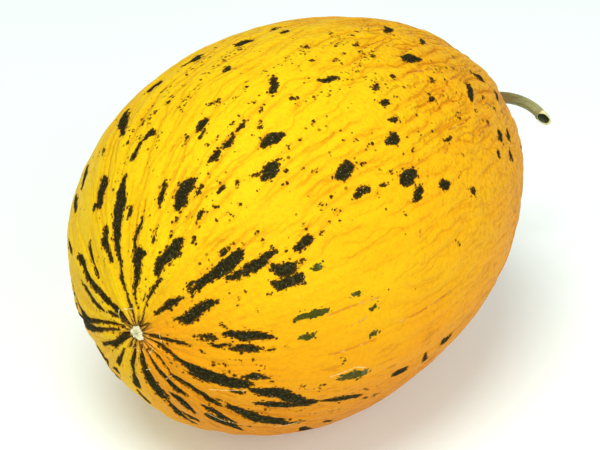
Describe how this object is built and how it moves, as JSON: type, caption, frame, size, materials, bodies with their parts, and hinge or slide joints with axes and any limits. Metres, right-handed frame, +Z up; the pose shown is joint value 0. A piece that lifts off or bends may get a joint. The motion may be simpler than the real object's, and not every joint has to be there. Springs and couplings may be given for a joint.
{
  "type": "casaba melon",
  "caption": "Long yellow casaba melon with dark green blotches and stripes, furrowed rind, corky blossom scar and a short hooked cut stem, lying on its side.",
  "frame": {"origin": "middle of the small flat spot on the belly that the melon lies on", "axes": "+X along the fruit from the blossom end to the stem end, +Z up, the stem hooks towards -Y"},
  "size_m": [0.272, 0.1672, 0.1648],
  "materials": {
    "rind": "satin",
    "stem": "satin"
  },
  "bodies": {
    "root": {"fruit": "rind", "stem": "stem"}
  },
  "joints": []
}
